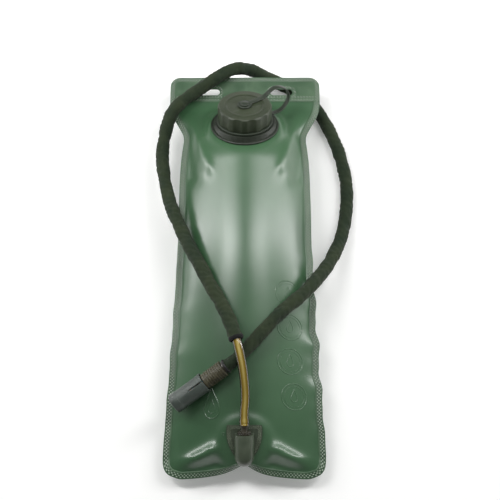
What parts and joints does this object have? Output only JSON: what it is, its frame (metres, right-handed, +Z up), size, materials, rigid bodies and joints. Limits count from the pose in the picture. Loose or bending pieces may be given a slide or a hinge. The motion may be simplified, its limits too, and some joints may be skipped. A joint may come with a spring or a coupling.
{
  "type": "hydration bladder",
  "caption": "Flat-welded soft water reservoir with a tethered screw-cap fill port, slotted hanger header, welded outlet and a sleeved drink tube ending in a covered bite valve.",
  "frame": {"origin": "on the surface the bag lies on, under the middle of the bag without its hose", "axes": "+Z up out of the surface, +Y toward the hanger header, -Y toward the outlet, +X to the right when the front faces up"},
  "size_m": [0.2246, 0.4818, 0.0951],
  "materials": {
    "film": "translucent green film",
    "fill_port": "dark olive moulding",
    "tether": "soft dark moulding",
    "seal": "black rubber",
    "outlet": "dark olive moulding, knurled border",
    "nozzle": "smooth dark moulding",
    "tube": "clear amber",
    "sleeve": "woven dark olive fabric",
    "trim": "black binding",
    "collar": "olive brown ribbed rubber",
    "mouthpiece": "soft silicone",
    "cover": "satin grey"
  },
  "bodies": {
    "root": {"front_film": "film", "back_film": "film", "hanger_header": "film", "fill_collar": "fill_port", "tether_ring": "tether", "outlet_shield": "outlet", "outlet_spigot": "nozzle", "spigot_orings": "seal", "lock_ring": "nozzle", "drink_tube": "tube", "tube_sleeve": "sleeve", "sleeve_cuff": "trim", "sleeve_clip": "nozzle", "valve_tail": "nozzle", "valve_orings": "seal", "bite_valve": "mouthpiece"},
    "cap_swivel": {"tether_strap": "tether"},
    "cap": {"screw_cap": "fill_port", "cap_stud": "tether", "cap_gasket": "seal"},
    "shutoff": {"shutoff_core": "nozzle", "shutoff_collar": "collar"},
    "cover": {"dust_cover": "cover"}
  },
  "joints": [
    {"name": "cap_rise", "type": "slide", "parent": "root", "child": "cap_swivel", "axis": [0, 0.5, 0.866], "range_m": [0, 0.024]},
    {"name": "cap_turn", "type": "hinge", "parent": "cap_swivel", "child": "cap", "pos_m": [0, 0.15899, 0.05453], "axis": [0, 0.5, 0.866], "range_deg": [0, 1440]},
    {"name": "shutoff_turn", "type": "hinge", "parent": "root", "child": "shutoff", "pos_m": [-0.018, -0.119, 0.067], "axis": [-0.8018, -0.5345, -0.2673], "range_deg": [0, 90]},
    {"name": "cover_slide", "type": "slide", "parent": "root", "child": "cover", "axis": [-0.8018, -0.5345, -0.2673], "range_m": [0, 0.045]}
  ],
  "couplings": [
    {"joint": "cap_rise", "follows": "cap_turn", "m_per_rad": 0.00095493}
  ]
}
